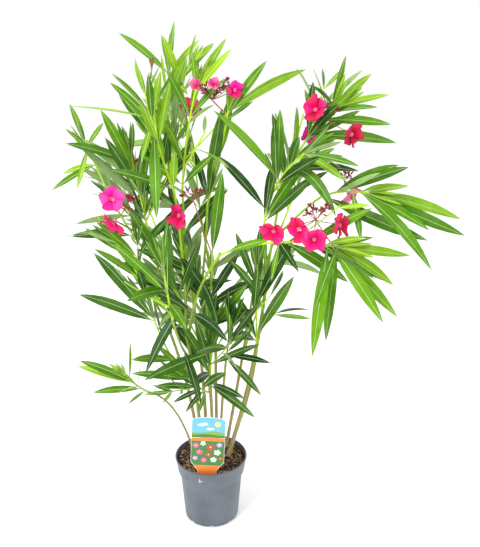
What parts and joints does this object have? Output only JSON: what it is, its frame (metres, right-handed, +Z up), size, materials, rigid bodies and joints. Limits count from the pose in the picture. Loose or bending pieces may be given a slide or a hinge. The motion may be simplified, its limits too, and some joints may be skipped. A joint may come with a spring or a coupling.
{
  "type": "potted oleander",
  "caption": "Flowering oleander shrub in a round nursery pot: canes from the soil, boughs, leafy shoots with blossom and a plant label.",
  "frame": {"origin": "centre of the pot's flat underside", "axes": "+Z up along the pot's axis, -Y towards the side with the plant label, +X to the right of someone who faces that side"},
  "size_m": [0.8389, 0.7235, 1.146],
  "materials": {
    "pot": "satin grey moulded plastic",
    "soil": "damp peat and bark",
    "label": "printed plastic plate",
    "cane": "smooth tan to olive bark",
    "bough": "green young bark",
    "leaves_old": "leathery dark green leaves",
    "leaves_mid": "leathery green leaves",
    "leaves_young": "fresh yellow-green leaves"
  },
  "bodies": {
    "root": {"bough_arch": "bough", "bough_back_left": "bough", "bough_back_right": "bough", "bough_back_top": "bough", "bough_blossom": "bough", "bough_far_left": "bough", "bough_front": "bough", "bough_left": "bough", "bough_left_up": "bough", "bough_main": "bough", "bough_right": "bough", "bough_right_out": "bough", "bough_right_up": "bough", "bough_top": "bough", "bough_top_middle": "bough", "cane_back": "cane", "cane_back_left": "cane", "cane_back_right": "cane", "cane_front": "cane", "cane_left": "cane", "cane_low_front": "cane", "cane_low_left": "cane", "cane_middle": "cane", "cane_right": "cane", "cane_short": "cane", "cane_thin_right": "cane", "leaves_back_left": "leaves_mid", "leaves_back_low": "leaves_old", "leaves_back_low_left": "leaves_old", "leaves_back_low_right": "leaves_old", "leaves_back_right": "leaves_mid", "leaves_back_top": "leaves_mid", "leaves_blossom": "leaves_mid", "leaves_far_left": "leaves_young", "leaves_front": "leaves_old", "leaves_front_middle": "leaves_mid", "leaves_left": "leaves_mid", "leaves_left_low": "leaves_old", "leaves_left_up": "leaves_old", "leaves_low_front": "leaves_old", "leaves_low_front_left": "leaves_mid", "leaves_low_left": "leaves_young", "leaves_low_right": "leaves_old", "leaves_middle": "leaves_old", "leaves_middle_low": "leaves_old", "leaves_right": "leaves_old", "leaves_right_back": "leaves_mid", "leaves_right_front": "leaves_young", "leaves_right_inner": "leaves_old", "leaves_right_low": "leaves_mid", "leaves_right_out": "leaves_mid", "leaves_right_top": "leaves_mid", "leaves_top": "leaves_young", "leaves_top_back": "leaves_young", "leaves_top_left": "leaves_young", "leaves_top_middle": "leaves_young", "plant_label": "label", "pot": "pot", "soil": "soil"}
  },
  "joints": []
}
